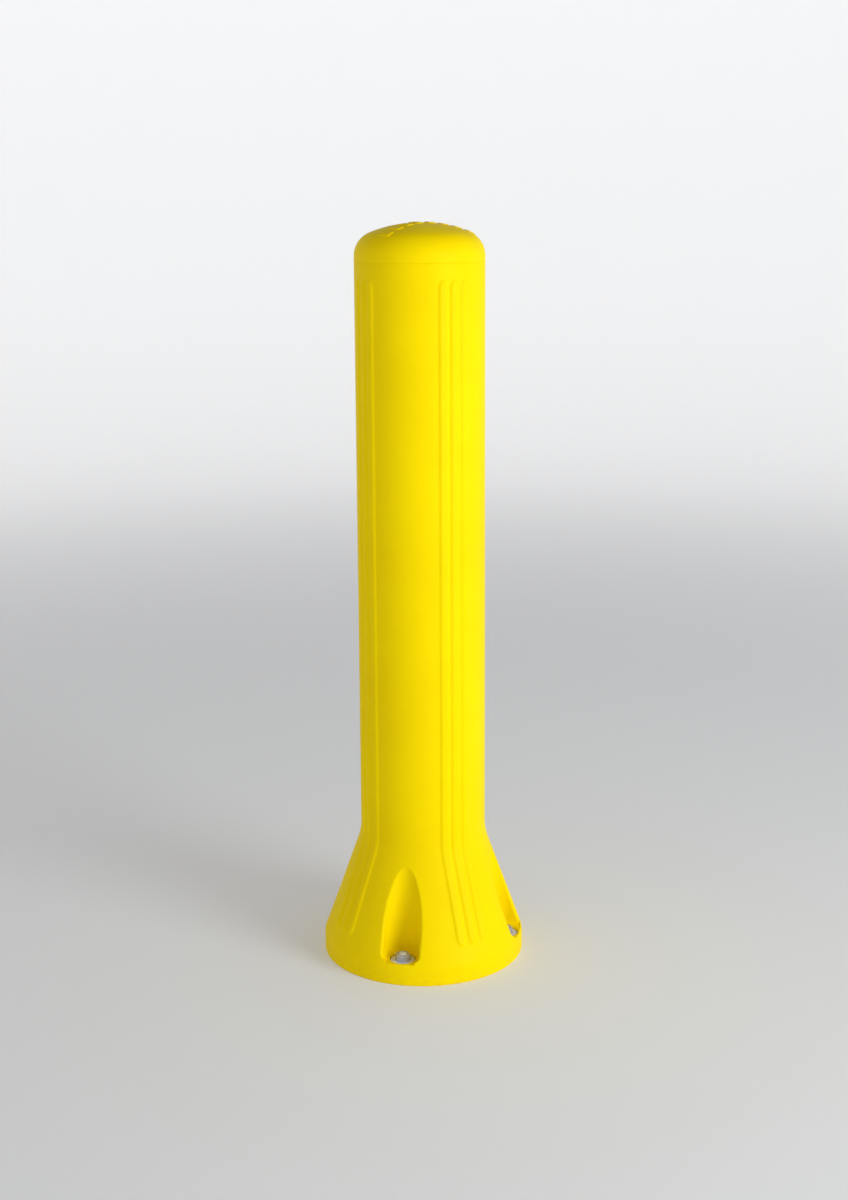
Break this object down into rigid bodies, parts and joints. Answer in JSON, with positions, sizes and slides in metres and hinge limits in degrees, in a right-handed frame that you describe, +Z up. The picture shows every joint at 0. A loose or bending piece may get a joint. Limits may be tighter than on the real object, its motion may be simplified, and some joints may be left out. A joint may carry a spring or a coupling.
{
  "type": "self-righting bollard",
  "caption": "Floor-mounted bollard with a flared, ribbed plastic cover over a steel core post that tilts on a sprung cross joint and springs back upright; anchors sit in pockets round the base.",
  "frame": {"origin": "centre of the base's underside, on the floor", "axes": "+Z up along the post, -Y towards the front anchor pocket, +X to the right seen from the front; the anchors lie on the X and Y axes"},
  "size_m": [0.295, 0.295, 1.1482],
  "materials": {
    "yellow_cover": "moulded, smooth satin",
    "painted_steel": "black powder coat",
    "galvanised_steel": "hot-dip galvanised",
    "forged_steel": "machined forging",
    "zinc_steel": "bright zinc plate",
    "dark_steel": "black oxide",
    "bronze": "sintered bronze",
    "white_nylon": "natural nylon",
    "amber_polyurethane": "cast polyurethane",
    "black_rubber": "moulded rubber"
  },
  "bodies": {
    "base": {"floor_pad": "black_rubber", "base_plate": "painted_steel", "cover_base": "yellow_cover", "limiter_sleeves": "zinc_steel", "anchor_studs": "zinc_steel", "anchor_clips": "zinc_steel", "anchor_washers": "zinc_steel", "anchor_nuts": "zinc_steel", "base_yoke": "painted_steel", "base_yoke_screws": "dark_steel", "base_bushes": "bronze"},
    "flex": {"cross": "forged_steel", "tilt_pin_x": "zinc_steel", "tilt_pins_y": "zinc_steel", "thrust_washers": "white_nylon", "circlips": "dark_steel", "ring_spring": "amber_polyurethane", "cover_neck": "yellow_cover"},
    "post": {"post_yoke": "painted_steel", "post_bushes": "bronze", "core_post": "galvanised_steel", "post_flange_screws": "dark_steel", "top_plate": "galvanised_steel", "spacer_lower": "white_nylon", "spacer_middle": "white_nylon", "spacer_upper": "white_nylon", "cover_tube": "yellow_cover", "cap": "yellow_cover", "cap_seal": "black_rubber"}
  },
  "joints": [
    {"name": "tilt_x", "type": "hinge", "parent": "base", "child": "flex", "pos_m": [0, 0, 0.075], "axis": [1, 0, 0], "range_deg": [-12, 12], "stiffness_Nm_per_rad": 9000, "deforming": ["ring_spring", "cover_neck"]},
    {"name": "tilt_y", "type": "hinge", "parent": "flex", "child": "post", "pos_m": [0, 0, 0.075], "axis": [0, 1, 0], "range_deg": [-12, 12], "stiffness_Nm_per_rad": 9000, "deforming": ["ring_spring", "cover_neck"]}
  ]
}
